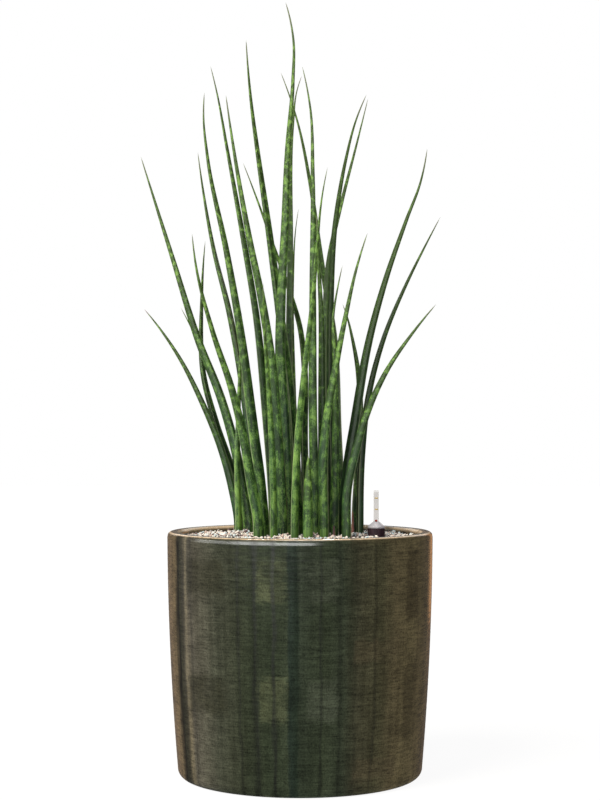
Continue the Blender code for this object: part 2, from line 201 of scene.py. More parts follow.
def add_node(tree, kind, inputs=None, stops=None, **settings):
    """A shader node of that kind with its settings and inputs. stops are a colour ramp's
    (place, hex colour) pairs."""
    made = tree.nodes.new("ShaderNode" + kind)
    for key, value in settings.items():
        setattr(made, key, value)
    fill(tree, made, inputs or {})
    if stops:
        ramp = made.color_ramp
        while len(ramp.elements) < len(stops):
            ramp.elements.new(0.5)
        for element, (place, colour) in zip(ramp.elements, stops):
            element.position = place
            element.color = linear(colour)
    return made


def new_material(name):
    """A node material and its shader, with the node tree to build in."""
    made = bpy.data.materials.new(name)
    made.use_nodes = True
    return made, made.node_tree, made.node_tree.nodes["Principled BSDF"]


print("white is", linear("#ffffff")[0])


# %% Noise, sums and layers
def spots(tree, place, size_mm, detail=2.0, roughness=0.5, distortion=0.0, shift=0.0):
    """A noise whose spots measure size_mm along each direction of place: the place is divided by
    that size, after which one spot is one unit wide."""
    scale = tuple(1 / (size * MM) for size in size_mm)
    drawn = add_node(tree, "Mapping", {"Vector": place, "Scale": scale, "Location": (shift,) * 3})
    noise = {"Vector": drawn, "Scale": 1.0, "Detail": detail, "Roughness": roughness,
             "Distortion": distortion}
    return add_node(tree, "TexNoise", noise).outputs["Fac"]


def weighted_sum(tree, total, terms):
    """total plus each value times its weight, by one Multiply Add node for each."""
    for value, weight in terms:
        total = add_node(tree, "Math", {0: value, 1: weight, 2: total}, operation="MULTIPLY_ADD")
    return total


def laid_over(tree, colour, layers):
    """A colour with others laid over it, one by one. A layer is the share that it covers, its
    colour, and how the two are mixed. A Mix node gives a colour by its output 2."""
    for share, over, mode in layers:
        mixed = add_node(tree, "Mix", {0: share, 6: colour, 7: over}, data_type="RGBA", blend_type=mode)
        colour = mixed.outputs[2]
    return colour


print("material helpers ready")

# %% [markdown]
# Leaf skin.
# Snake plant leaves are thick and waxy: dark green with paler blotches that are frayed into lengthwise
# streaks, since the pale cells lie in files along the leaf. Low on the plant the blotches are large and
# bright, and towards the tips they shrink to dull cross bands. The wax gives a soft sheen, so the
# roughness is middling and the gloss is weak. A picture of a leaf would repeat itself on 29 leaves, so
# the pattern is noise on each leaf's own map in metres. Four values on the mesh steer it: how near a
# point is to a channel edge, how near to the tip, how pale that part of the leaf is, and how dry. The
# paleness holds painted light and shade as well as the leaf's own tone, and some bluish stretches low
# down are painted shade.

# %% Leaf skin material
# The sizes round and along the leaf. Its cells are too fine to show, so the files and the cells
# are drawn near a millimetre wide.
BLOTCH_MM = (11, 21, 1)
BAND_MM = (13, 8, 1)
FILE_MM = (0.8, 14, 1)
CELL_MM = (0.9, 1.8, 1)
TINT_MM = (14, 60, 1)

leaf_skin, tree, shader = new_material("waxy_leaf_skin")
place = add_node(tree, "UVMap", uv_map="metres")
edge, along, pale, dry = (
    add_node(tree, "Attribute", attribute_name=name).outputs["Fac"]
    for name in ("edge", "along", "pale", "dry")
)
blotches = spots(tree, place, BLOTCH_MM, 5.0, 0.7, 0.3)
bands = spots(tree, place, BAND_MM, 3.0, 0.62, 0.3)
files = spots(tree, place, FILE_MM, 2.0, 0.6)
cells = spots(tree, place, CELL_MM, 1.0, 0.5)
tint = spots(tree, place, TINT_MM, 1.0, 0.5)

# Blotches low down pass into cross bands higher up, which stand out more from the green.
banding = add_node(tree, "MapRange", {0: along, 1: 0.15, 2: 0.7, 3: 0.2, 4: 0.85})
marks = add_node(tree, "Mix", {0: banding, 2: blotches, 3: bands})
from_middle = add_node(tree, "Math", {0: marks, 1: 0.5}, operation="SUBTRACT")
upper_contrast = add_node(tree, "MapRange", {0: along, 1: 0.3, 2: 0.8})
level = weighted_sum(tree, pale, [
    (marks, 1.42),
    (from_middle, upper_contrast),
    (files, 0.25),
    (cells, 0.42),
])
# A ramp from the deep green between the blotches to the yellow green in their middle.
blotched = add_node(tree, "ValToRGB", {0: level}, stops=[
    (0.30, "#1d3118"), (0.515, "#304a25"), (0.585, "#4d7233"), (0.76, "#80a84f"),
])
print("blotches and bands:", len(tree.nodes), "nodes")

# %% Leaf tints
# Some stretches are bluish with wax, and the bluish tint that grows low down, in the clump, is painted
# shade. Each file of cells has its own shade. Higher up the green is more olive. The skin is worn pale
# along the channel's two edges, grey brown at the tip, and red brown where it has dried.
low_down = add_node(tree, "MapRange", {0: along, 1: 0.1, 2: 0.7, 3: 0.4, 4: 0.1})
waxed = add_node(tree, "MapRange", {0: tint, 1: 0.5, 2: 0.7})
bluish_wax_and_shade = add_node(tree, "Math", {0: low_down, 1: waxed}, operation="MULTIPLY", use_clamp=True)
file_shade = add_node(tree, "MapRange", {0: files, 1: 0.3, 2: 0.7, 3: 0.86, 4: 1.12})
high_up = add_node(tree, "MapRange", {0: along, 1: 0.25, 2: 0.9, 3: 0.0, 4: 0.3})
at_tip = add_node(tree, "MapRange", {0: along, 1: 0.93, 2: 0.995, 3: 0.0, 4: 0.7})
green = laid_over(tree, blotched, [
    (bluish_wax_and_shade, "#34573c", "MIX"),
    (1.0, file_shade, "MULTIPLY"),
    (high_up, "#65802c", "MIX"),
    (edge, "#c0cfa0", "MIX"),
    (at_tip, "#8d8c74", "MIX"),
    (dry, "#6b3a22", "MIX"),
])
relief = weighted_sum(tree, files, [(cells, 0.6)])
furrows = add_node(tree, "Bump", {"Strength": 0.3, "Distance": 0.2 * MM, "Height": relief})
fill(tree, shader, {"Base Color": green, "Normal": furrows, "Roughness": 0.5,
                    "Specular IOR Level": 0.09})
print("leaf skin:", len(tree.nodes), "nodes")

# %% [markdown]
# The leaves.
# Each leaf is a thick, channelled spike. A curve with a bevel would keep one section all the way
# up, so a leaf is a section of its own at each step, carried along a path. The path is a smooth
# curve through a few points, the same ones that the solids were built from. They are given as the
# eye sees them on the upright plane through the planter's axis, with a depth at the foot. Leaves
# in front lean forward as they rise and leaves behind lean back, so that they never cross.

# %% Leaf places
# Each row is a leaf's number, width, taper, depth at its foot, the direction of its channel in degrees,
# how pale it is, partly as painted light and shade, where it stands, and the points (x, height) that it
# passes through.
# Lengths are in millimetres.
LEAVES = [
    (1, 11.8, 1.8, 38, 20, -0.1,
     -70.5, [(-77, 325), (-89.5, 371), (-112, 426), (-137, 475), (-177.5, 531)]),
    (2, 9, 1.8, 12, 155, 0.9,
     -70, [(-71.5, 348), (-70.5, 405), (-68, 473), (-66.5, 527)]),
    (3, 10.5, 2, 50, -30, 0.0,
     -65, [(-76, 342), (-96, 402), (-109.5, 453), (-112, 541), (-108, 609)]),
    (4, 8, 1.6, 60, -60, 0.0,
     -62, [(-66, 325), (-81, 401), (-92, 439), (-110.5, 482), (-136, 533)]),
    (5, 14, 1.6, 26, 30, 0.25,
     -59, [(-65, 325), (-73.5, 371), (-89.5, 428), (-116, 496), (-144.5, 587), (-181.5, 705)]),
    (6, 12, 2.2, 42, -20, 0.1,
     -50, [(-55, 359), (-68, 462), (-81, 530), (-98, 598), (-110.5, 667), (-116.5, 710)]),
    (7, 13.5, 1.3, -33, 140, 0.6,
     -47, [(-56, 336), (-66, 393), (-77.5, 439), (-100, 507), (-119, 583), (-123, 617)]),
    (8, 14.5, 1.6, -4, 150, 0.4,
     -41.5, [(-44.5, 325), (-53, 393), (-66.5, 496), (-84, 598), (-105, 701), (-110, 752), (-109, 778)]),
    (9, 12.5, 2, 15, 160, 0.1,
     -31, [(-40.5, 428), (-49.5, 519), (-64.5, 610), (-83, 713), (-95.5, 781), (-102, 808)]),
    (10, 9.1, 2, -30, 150, 0.8,
     -30, [(-31.5, 359), (-36.5, 450), (-41.5, 524), (-42, 561)]),
    (11, 13.1, 1.8, -12, 60, 0.45,
     -20.5, [(-25.5, 382), (-33, 473), (-43.5, 541), (-57.5, 610), (-75.5, 713), (-84.5, 775)]),
    (12, 16, 1.6, 9, 35, 0.5,
     -14.5, [(-17.5, 393), (-22.5, 485), (-21.5, 541), (-17.5, 621), (-14, 713),
             (-8, 792), (-7.5, 838), (-16.5, 881)]),
    (13, 9.5, 2.2, 40, -90, -0.2,
     -12, [(-12.5, 428), (-11, 598), (-8, 741), (-3.5, 780), (2, 797)]),
    (14, 10.3, 1.8, -30, 150, 0.85,
     -6, [(-2.5, 382), (6.5, 473), (14.5, 541), (19.5, 604), (26, 665), (31.5, 693)]),
    (15, 6.8, 1.6, 54, -70, 0.1,
     -6, [(-6.5, 405), (-8, 564), (-4, 630), (-1.5, 646)]),
    (16, 14.2, 1.8, 30, -40, 0.35,
     0, [(-3.5, 325), (-10.5, 428), (-23.5, 530), (-35.5, 621), (-47, 701), (-56, 770), (-61.5, 838)]),
    (17, 9.7, 1.6, 47, -60, 0.2,
     7, [(5, 382), (5, 467), (0, 510), (-12.5, 553), (-29.5, 601), (-50, 659), (-65, 698)]),
    (18, 11.3, 3, -35, 75, 0.6,
     9, [(9, 314), (9.5, 366)]),
    (19, 11.3, 1.9, 1, 45, 0.45,
     16.5, [(14.5, 428), (14.5, 564), (14.5, 684), (11.5, 762), (2.5, 808)]),
    (20, 11.6, 2.2, 15, 30, 0.1,
     25.5, [(25, 428), (23.5, 541), (20.5, 593), (19, 640)]),
    (21, 13, 1.5, -24, 40, 0.55,
     26.5, [(26, 348), (29.5, 399), (40, 462), (53.5, 530), (64, 576), (77, 618)]),
    (22, 9.7, 1.8, 46, -110, -0.1,
     31, [(29, 485), (33, 587), (48, 655), (63, 713), (77.5, 771)]),
    (23, 13.2, 2.1, 27, 200, -0.6,
     37, [(33.5, 473), (34.5, 541), (40.5, 633), (52, 701), (64, 747), (76, 776)]),
    (24, 10.3, 1.3, -3, 60, 0.3,
     38.5, [(40.5, 382), (39.5, 473), (38, 524), (42.5, 553), (48.5, 581)]),
    (25, 10.3, 1.6, 57, -80, 0.1,
     47, [(43, 393), (39, 496), (24.5, 585), (11, 678), (-3.5, 747), (-22, 801)]),
    (26, 14.5, 1.6, 11, 25, -0.8,
     50.5, [(53.5, 342), (63, 405), (79, 496), (97.5, 564), (121.5, 633), (137.5, 676), (145, 714)]),
    (27, 11.8, 1.6, -30, 35, 0.0,
     53, [(54, 325), (64, 371), (77, 414), (99.5, 462), (127, 502), (155.5, 537)]),
    (28, 11, 1.9, 46, -120, 0.0,
     64, [(67.5, 371), (66, 462), (60, 496), (53.5, 523), (48.5, 537)]),
    (29, 11.5, 2, 22, 190, -0.8,
     68, [(70.5, 371), (77, 428), (94.5, 496), (123, 564), (140, 598), (160, 636)]),
]
print("leaves:", len(LEAVES))

# %% [markdown]
# The path of a leaf.
# Between two of its points a leaf follows one cubic stretch, whose direction at each point is the
# average of the directions before and after. It starts upright. Steps of equal parameter would
# bunch up where the points are close, so the curve is measured, and read again at even steps
# along its length.

# %% Leaf path
# Where a leaf leaves the granulate, and how far its skin ends short of the solid's blunt tip.
LEAF_START = 281 * MM
TIP_SHORT = 0.3 * MM
# The depth at which leaves lean neither way, and how the lean grows with height.
CLUMP_MIDDLE = 8 * MM
FAN_HEIGHT = 360 * MM
FAN_POWER = 1.6
CURVE_STEPS = 40


def seen(x, height, depth):
    """The point at that depth which the eye sees at (x, height) on the plane of the axis."""
    scale = 1 + depth / EYE_DISTANCE
    return np.array([x * scale, depth, EYE_HEIGHT + (height - EYE_HEIGHT) * scale])


def leaf_place(foot_x, foot_depth):
    """Where a leaf leaves the granulate."""
    return np.array([seen(foot_x * MM, LEAF_START, foot_depth * MM)[0], foot_depth * MM])


def leaf_path(foot_x, foot_depth, points, steps):
    """Points at even steps from the granulate to the tip, and the leaf's length above it. The
    depth grows by the foot's distance from the clump's middle times the rise to a power. A
    stretch is a cubic with its two handles a third of the chord away."""
    knots = [np.array([*leaf_place(foot_x, foot_depth), LEAF_START])]
    for x, z in points:
        rise = max((z * MM - LEAF_START) / FAN_HEIGHT, 0)
        depth = foot_depth * MM + (foot_depth * MM - CLUMP_MIDDLE) * rise**FAN_POWER
        knots.append(seen(x * MM, z * MM, depth))
    knots = np.array(knots)
    steps_between = np.diff(knots, axis=0)
    chords = np.linalg.norm(steps_between, axis=1)[:, None]
    headings = steps_between / chords
    share = chords[:-1] / (chords[:-1] + chords[1:])
    inner = headings[:-1] * (1 - share) + headings[1:] * share
    before_last = inner[-1] if len(inner) else headings[-1]
    slopes = np.vstack([[0, 0, 1], inner, 2 * headings[-1] - before_last])
    t = np.linspace(0, 1, CURVE_STEPS)[:, None, None]
    a, b = knots[:-1], knots[1:]
    reach = chords / 3
    curve = (a * (1 - t) ** 3 + (a + slopes[:-1] * reach) * 3 * t * (1 - t) ** 2
             + (b - slopes[1:] * reach) * 3 * t**2 * (1 - t) + b * t**3)
    curve = curve.transpose(1, 0, 2).reshape(-1, 3)
    run = np.concatenate([[0], np.cumsum(np.linalg.norm(np.diff(curve, axis=0), axis=1))])
    even = np.linspace(0, run[-1] - TIP_SHORT, steps)
    return np.stack([np.interp(even, run, curve[:, k]) for k in range(3)], 1), run[-1]


_, _, _, foot_depth, _, _, foot_x, points = LEAVES[0]
print("the first leaf is", round(leaf_path(foot_x, foot_depth, points, 50)[1], 3), "m long")

# %% [markdown]
# The section of a leaf.
# The section is an ellipse that is open on one side as a channel, with a thin raised skin at the
# channel's two edges and shallow furrows round its back. Towards the tip the channel closes and
# the leaf becomes a round spike. The furrows could be bump alone, but then the outline of a leaf
# would stay too smooth, so they are cut into the grid, and bump only adds the finest ones.

# %% Leaf section
# Shares of the half width, but for the angles, which are measured from the channel's middle.
LEAF_THICKNESS = 0.8
CHANNEL_EDGE = np.radians(55)
CHANNEL_DEPTH = 0.75
CHANNEL_POWER = 1.7
BACK_COLUMNS = 30
CHANNEL_COLUMNS = 11
FURROWS = 9
FURROW_DEPTH = 0.02
LIP_RISE = 0.05
LIP_ANGLE = np.radians(10)
LIP_SHARE = 0.2


def leaf_section(half_width, along):
    """(across, towards the channel, closeness to an edge) in arrays of rows by columns. The
    back is an ellipse times one plus a small sine. The channel is a power curve between the
    edges that bulges out instead once the leaf is round."""
    turn = np.linspace(CHANNEL_EDGE, 2 * np.pi - CHANNEL_EDGE, BACK_COLUMNS)
    from_edge = np.minimum(turn - CHANNEL_EDGE, 2 * np.pi - CHANNEL_EDGE - turn)
    lip = np.exp(-((from_edge / LIP_ANGLE) ** 2))
    thick = half_width * LEAF_THICKNESS
    swell = 1 + (LIP_RISE * lip - FURROW_DEPTH * (1 - lip) * np.cos(FURROWS * turn)) * (1 - along**3)
    back_u = half_width * np.sin(turn) * swell
    back_v = thick * np.cos(turn) * swell
    side = np.linspace(-1, 1, CHANNEL_COLUMNS + 2)[1:-1]
    edge_u = half_width * np.sin(CHANNEL_EDGE)
    edge_v = thick * np.cos(CHANNEL_EDGE)
    floor_v = thick * (1 - CHANNEL_DEPTH * (1 - along**2))
    front_u = edge_u * side
    front_v = edge_v + (floor_v - edge_v) * (1 - np.abs(side) ** CHANNEL_POWER)
    front_lip = np.exp(-(((1 - np.abs(side)) / LIP_SHARE) ** 2)) + 0 * along
    u = np.hstack([back_u, front_u])
    v = np.hstack([back_v, front_v])
    return u, v, np.hstack([lip + 0 * along, front_lip])


print("columns round a leaf:", BACK_COLUMNS + CHANNEL_COLUMNS)

# %% Whole leaf
# The height of the leaf's hidden foot, the width left at the tip as a share of the whole, the
# stretch over which the tip ends in a point, and how blunt that point is.
LEAF_FOOT = 244 * MM
TIP_SHARE = 0.08
TIP_STRETCH = 6 * MM
TIP_BLUNT = 0.12


def leaf_grid(width, taper, foot_depth, facing, foot_x, points, steps):
    """points[row, column], UV in metres, and the values for the material, of one leaf. The half
    width falls with the height share to the power taper, and runs out over the last stretch."""
    path, length = leaf_path(foot_x, foot_depth, points, steps)
    path = np.vstack([[[*path[0, :2], LEAF_FOOT]], path])
    along = np.concatenate([[0], np.linspace(0, 1, steps)])[:, None]
    tangent = np.gradient(path, axis=0)
    tangent[0] = tangent[1] = (0, 0, 1)
    tangent /= np.linalg.norm(tangent, axis=1)[:, None]
    channel = np.array([np.cos(np.radians(facing)), np.sin(np.radians(facing)), 0])
    towards = channel - tangent * (tangent @ channel)[:, None]
    towards /= np.linalg.norm(towards, axis=1)[:, None]
    across = np.cross(tangent, towards)
    share = TIP_SHARE + (1 - TIP_SHARE) * (1 - along**taper)
    sharp = np.clip((1 - along) * length / TIP_STRETCH, TIP_BLUNT, 1)
    half_width = width * MM / 2 * share * sharp
    u, v, edge = leaf_section(half_width, along)
    grid = path[:, None] + u[:, :, None] * across[:, None] + v[:, :, None] * towards[:, None]
    way_round = np.linspace(0, np.pi * width * MM, grid.shape[1] + 1)
    uv = np.stack(np.broadcast_arrays(way_round[None, :], along * length), -1)
    return grid, uv, along, edge


_, width, taper, foot_depth, facing, _, foot_x, points = LEAVES[0]
first_grid = leaf_grid(width, taper, foot_depth, facing, foot_x, points, 50)[0]
print("rows and columns of the first leaf:", first_grid.shape[:2])

# %% [markdown]
# All the leaves.
# The pattern of each leaf starts at its own place on the map, so that no two leaves match, though they
# share one material. Leaves are a little paler near the granulate. Some are darker than others all the
# way up, partly in their own tone and partly as painted shade: most leaves in front are paler, and most
# behind and at the right are darker, as the light falls.

# %% Make the leaves
LEAF_STEP = 4.5 * MM
# Where along the leaf a dry tip starts, and over how much of it the green ends. A start past one
# leaves the tip green.
DRY_TIPS = {1: 0.97, 2: 0.965, 13: 0.985}
NEVER_DRY = 2.0
DRY_FADE = 0.01
MAP_SHIFT = (0.317, 0.731)
EDGE_SHOWS = 0.9
EDGE_ENDS = 0.6
PALE_SPREAD = 0.17
PALE_AT_FOOT = 0.04
PALE_BASE = -0.59


def add_leaf(number, width, taper, foot_depth, facing, paleness_and_light, foot_x, points):
    """The skin of one leaf. Its paleness holds painted light and shade as well as its own tone. Paleness
    grows with what is left of the height, to the third power, and the worn edges fade out as a straight
    line."""
    name = f"leaf_{number:02d}"
    low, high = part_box(name)
    steps = int((high - low).length / LEAF_STEP)
    grid, uv, along, edge = leaf_grid(width, taper, foot_depth, facing, foot_x, points, steps)
    uv = uv + number * np.array(MAP_SHIFT)
    mesh = grid_mesh(f"{name}_skin", grid, uv)
    full = np.broadcast_to(along, edge.shape)
    dry = (full - DRY_TIPS.get(number, NEVER_DRY)) / DRY_FADE
    pale = PALE_BASE + PALE_SPREAD * paleness_and_light + PALE_AT_FOOT * (1 - full) ** 3
    point_values(mesh, "along", full.ravel())
    point_values(mesh, "edge", (EDGE_SHOWS * edge * np.clip(1 - full / EDGE_ENDS, 0, 1)).ravel())
    point_values(mesh, "pale", pale.ravel())
    point_values(mesh, "dry", np.clip(dry, 0, 1).ravel())
    return add_piece(f"{name}_skin", mesh, [leaf_skin], nodes=[name])


leaves = [add_leaf(*row) for row in LEAVES]
print("leaf triangles:", sum(2 * len(leaf.data.polygons) for leaf in leaves))

# %% [markdown]
# Dry sheaths.
# Where a leaf comes out of the rhizome, a short scale leaf wraps its foot. On a grown plant the
# scales are dry, thin and red-brown, and a few of them show between the green leaves. Each one
# is a thin blade, bent round the leaf and pointed at its top. A flat sheet with a Solidify
# modifier would do, but a closed grid gives it its two faces and its thin edge at once.

# %% Dry sheath material
# A dead leaf's skin is like brown paper with its fibres showing: matt, with upright streaks.
sheath_skin, tree, shader = new_material("dry_leaf_sheath")
place = add_node(tree, "TexCoord").outputs["Object"]
fibres = spots(tree, place, (0.8, 0.8, 6), 2.0, 0.6)
paper = add_node(tree, "ValToRGB", {0: fibres}, stops=[
    (0.3, "#4a2016"), (0.55, "#7d3f2a"), (0.75, "#a9765a"),
])
fill(tree, shader, {"Base Color": paper, "Roughness": 0.8})
print("sheath material:", len(tree.nodes), "nodes")

# %% Dry sheath pieces
# Each row is where a sheath is seen (x) and its depth, its width and the height of its tip in
# millimetres, and which way it bulges in degrees from +X.
SHEATHS = [
    (-38, 4, 5, 297, -80),
    (60, 0, 4, 301, -95),
    (-15.5, -13, 5, 283, -70),
    (38.5, -15, 5, 285, -100),
]
SHEATH_FOOT_MM = 262
SHEATH_ROWS = 14
SHEATH_COLUMNS = 7
SHEATH_THICKNESS = 0.5 * MM
SHEATH_BEND = 0.5
SHEATH_BLUNT = 0.02


def sheath_grid(x, depth, width, top, facing):
    """points[row, column] of a thin blade: its half width shrinks as the square root of what is
    left of its height, and its section is a shallow arc, out on one side and back on the other."""
    foot = seen(x * MM, LEAF_START, depth * MM)
    share = np.linspace(0, 1, SHEATH_ROWS)[:, None]
    half_width = width * MM / 2 * np.sqrt(1 + SHEATH_BLUNT - share)
    out_and_back = np.linspace(-1, 1, SHEATH_COLUMNS)
    side = np.concatenate([out_and_back, -out_and_back])
    arch = 1 - side**2
    face = np.repeat([1.0, -1.0], SHEATH_COLUMNS) * arch * SHEATH_THICKNESS / 2
    u = half_width * side
    v = arch * half_width * SHEATH_BEND + face
    out = np.array([np.cos(np.radians(facing)), np.sin(np.radians(facing)), 0])
    across = np.array([-out[1], out[0], 0])
    height = SHEATH_FOOT_MM * MM + share * (top - SHEATH_FOOT_MM) * MM
    middle = np.hstack([foot[0] + 0 * share, foot[1] + 0 * share, height])
    return middle[:, None] + u[:, :, None] * across + v[:, :, None] * out


for number, row in enumerate(SHEATHS, 1):
    mesh = grid_mesh(f"dry_sheath_{number}", sheath_grid(*row))
    add_piece(f"dry_sheath_{number}", mesh, [sheath_skin])
print("dry sheaths:", len(SHEATHS))

# %% [markdown]
# Glaze.
# The planter is stoneware under a thick dark olive glaze that was brushed on in two rounds, one above
# the other, and then ran. The runs left upright streaks: wide ones from brown at the sides through olive
# to a bluish green in the middle, and thin dark ones where a run ended. Painted reflections and sheen
# are laid into the same ramps: tan bands near both sides, a lighter grey zone and light and dark stripes
# at the left. In each of the two rounds the same marks come again: a khaki patch in front, which is a
# painted reflection of a window, and, left by the brush, a greyer and a browner one beside it and rough
# dark ones at both sides. The hairs of the brush left short level marks, with a fine weave of pits
# between them. On the edges of the lip the glaze drew back and is pale, and that pale is also a painted
# highlight on the crest and the inner edge.
# A painted picture could show all that, but only as sharp as it was painted. Here streaks and
# patches are colour ramps read by the direction from the axis and by the height, so they are on
# the wall itself, and noise with a real size frays them. The ramps run through the front half
# and come again on the back, which the photograph doesn't show.

# %% Glaze colours and marks
# Wide streaks and painted sheen: (degrees from the front, colour). Between two of them the colours
# blend. The tan bands from about -84 to -69 and from 76 to 81 degrees, the light strip at -57 and the
# lighter grey from -54 to -46 are painted reflections on the glaze.
WIDE_STREAKS_AND_SHEEN = [
    (-90, "#4b412f"), (-83.5, "#6f5c46"), (-76, "#665641"), (-69, "#5e513c"), (-63, "#2b2a20"),
    (-59.8, "#302e24"), (-56.8, "#605947"), (-54, "#46433a"), (-46, "#48473c"), (-38, "#393b30"),
    (-30, "#313428"), (-24, "#2a2f22"), (-14, "#2a3123"), (-5.6, "#2d3426"), (-4.6, "#1f2821"),
    (-1.4, "#20291f"), (-0.4, "#2a3125"), (10, "#2e3526"), (18, "#2e3427"), (26, "#393829"),
    (36, "#413f2c"), (44, "#524a34"), (56, "#584f36"), (70, "#534730"), (76, "#604e33"),
    (81, "#74583a"), (90, "#4b412f"),
]
# Thin dark streaks: (degrees from the front, width in degrees, how dark in the middle). The first, near
# the left edge, is a painted dark reflection.
THIN_STREAKS = [
    (-64.2, 2.4, 0.9), (-58.8, 1.2, 0.35), (-52.6, 1.1, 0.35), (-26.3, 1.0, 0.55), (-19, 1.8, 0.6),
    (-11, 1.4, 0.8), (8.6, 1.0, 0.6), (16.9, 1.0, 0.35), (24, 0.9, 0.25), (33, 1.2, 0.4),
]
# Brush patches, and a painted window reflection, which is the khaki one in front: the sector in degrees,
# the stretch of a round's height as shares of it, how much the patch covers, and its colour.
BRUSH_ROUND = 128 * MM
BRUSH_START = 52 * MM
PATCHES_AND_REFLECTION = [
    ((-18.5, -5.2), (0.22, 0.63), 0.5, "#54583f"),
    ((2.5, 17), (0.22, 0.62), 0.35, "#4a4e42"),
    ((-57, -32), (0.24, 0.62), 0.66, "#25251a"),
    ((50, 61), (0.02, 0.7), 0.6, "#241d12"),
    ((22, 48), (-0.3, 0.1), 0.5, "#4a4230"),
]
print("streaks:", len(WIDE_STREAKS_AND_SHEEN) + len(THIN_STREAKS), "patches:", len(PATCHES_AND_REFLECTION))


# %% Places on the ramps
def around(degrees):
    """A direction's place on a ramp that runs through the front half of the planter."""
    return 0.5 + degrees / 180


def grey(value):
    """The hex colour of a grey whose linear brightness is value."""
    srgb = 1.055 * value ** (1 / 2.4) - 0.055
    return "#" + f"{round(255 * srgb):02x}" * 3


def window(tree, value, start, end, fade):
    """One between start and end, zero outside, with a fade inside each end."""
    return add_node(tree, "ValToRGB", {0: value}, stops=[
        (start, "#000000"), (start + fade, "#ffffff"), (end - fade, "#ffffff"), (end, "#000000"),
    ])


wide_stops = [(around(degrees), colour) for degrees, colour in WIDE_STREAKS_AND_SHEEN]
thin_stops = [(0, grey(1))]
for degrees, width, dark in THIN_STREAKS:
    thin_stops += [(around(degrees - width), grey(1)), (around(degrees), grey(1 - dark)),
                   (around(degrees + width), grey(1))]
print("colour stops:", len(wide_stops), "wide and", len(thin_stops), "thin_glaze_and_highlight")

# %% Glaze streaks
glaze, tree, shader = new_material("olive_stoneware_glaze")
place = add_node(tree, "TexCoord").outputs["Object"]
axes = add_node(tree, "SeparateXYZ", {0: place}).outputs
away = add_node(tree, "Math", {0: axes["Y"], 1: -1.0}, operation="MULTIPLY")
heading = add_node(tree, "Math", {0: axes["X"], 1: away}, operation="ARCTAN2")

# The sizes across and up the wall. The real hairs and pits are finer, and are drawn as coarse as
# they need to be to show.
runs = spots(tree, place, (7, 7, 400), 2.0, 0.6, shift=3.7)
sway = spots(tree, place, (9, 9, 60), 2.0, 0.5, shift=6.4)
fray = spots(tree, place, (12, 12, 5), 3.0, 0.65, shift=8.1)
mottle = spots(tree, place, (30, 30, 34), 3.0, 0.65, shift=2.6)
hairs = spots(tree, place, (15, 15, 1.2), 3.0, 0.72, shift=5.3)
brush_marks = spots(tree, place, (26, 26, 4.5), 3.0, 0.7, shift=7.7)
weave = spots(tree, place, (1.2, 1.2, 2.2), 3.0, 0.7, shift=1.9)

# The direction as a place on the ramps: half a turn runs through the whole of one, the front is in
# its middle, and past its end it starts again. A little sway keeps the streaks from being ruled.
SWAY = 0.024
from_front = {0: heading, 1: 1 / math.pi, 2: 1.5 - SWAY / 2}
half_turns = add_node(tree, "Math", from_front, operation="MULTIPLY_ADD")
swayed = weighted_sum(tree, half_turns, [(sway, SWAY)])
direction = add_node(tree, "Math", {0: swayed}, operation="FRACT")
wide = add_node(tree, "ValToRGB", {0: direction}, stops=wide_stops)
thin_dark = add_node(tree, "ValToRGB", {0: direction}, stops=thin_stops)
run_shade = add_node(tree, "MapRange", {0: runs, 1: 0.3, 2: 0.7, 3: 0.84, 4: 1.18})
streaked = laid_over(tree, wide, [(1.0, run_shade, "MULTIPLY")])
print("streaks:", len(tree.nodes), "nodes")

# %% Glaze patches
# A noise is added to the height and to the direction, so that the edges of the patches fray. Each
# window is moved along by half of what the noise can add, so that a patch stays in its place.
FRAY = 0.16
FRAY_ASIDE = 0.04
ASIDE_FADE = 0.01
ROUND_FADE = 0.06

from_start = {0: axes["Z"], 1: 1 / BRUSH_ROUND, 2: 1 - BRUSH_START / BRUSH_ROUND}
rounds = add_node(tree, "Math", from_start, operation="MULTIPLY_ADD")
frayed_height = weighted_sum(tree, rounds, [(fray, FRAY)])
in_round = add_node(tree, "Math", {0: frayed_height}, operation="FRACT")
frayed_direction = weighted_sum(tree, direction, [(fray, FRAY_ASIDE)])
patched = streaked
for sector, stretch, cover, colour in PATCHES_AND_REFLECTION:
    left, right = (around(degrees) + FRAY_ASIDE / 2 for degrees in sector)
    start = stretch[0] % 1 + FRAY / 2
    aside = window(tree, frayed_direction, left, right, ASIDE_FADE)
    upright = window(tree, in_round, start, start + stretch[1] - stretch[0], ROUND_FADE)
    inside = add_node(tree, "Math", {0: aside, 1: upright}, operation="MULTIPLY", use_clamp=True)
    uneven = add_node(tree, "MapRange", {0: mottle, 1: 0.3, 2: 0.6, 3: 0.3 * cover, 4: cover})
    share = add_node(tree, "Math", {0: inside, 1: uneven}, operation="MULTIPLY", use_clamp=True)
    patched = laid_over(tree, patched, [(share, colour, "MIX")])
print("patches:", len(tree.nodes), "nodes")

# %% Glaze finish
# Over the patches lie the thin dark streaks, clouds of thinner and thicker glaze, and the brush's
# fine marks. The glaze is smooth where it lies thick, and dull in the dark runs.
thin_share = add_node(tree, "MapRange", {0: mottle, 1: 0.3, 2: 0.5, 3: 0.5, 4: 1.0})
clouds = add_node(tree, "MapRange", {0: mottle, 1: 0.3, 2: 0.7, 3: 0.8, 4: 1.25})
texture = weighted_sum(tree, 0.0, [(hairs, 0.36), (weave, 0.42), (brush_marks, 0.22)])
brushed = add_node(tree, "MapRange", {0: texture, 1: 0.36, 2: 0.64, 3: 0.25, 4: 1.85})
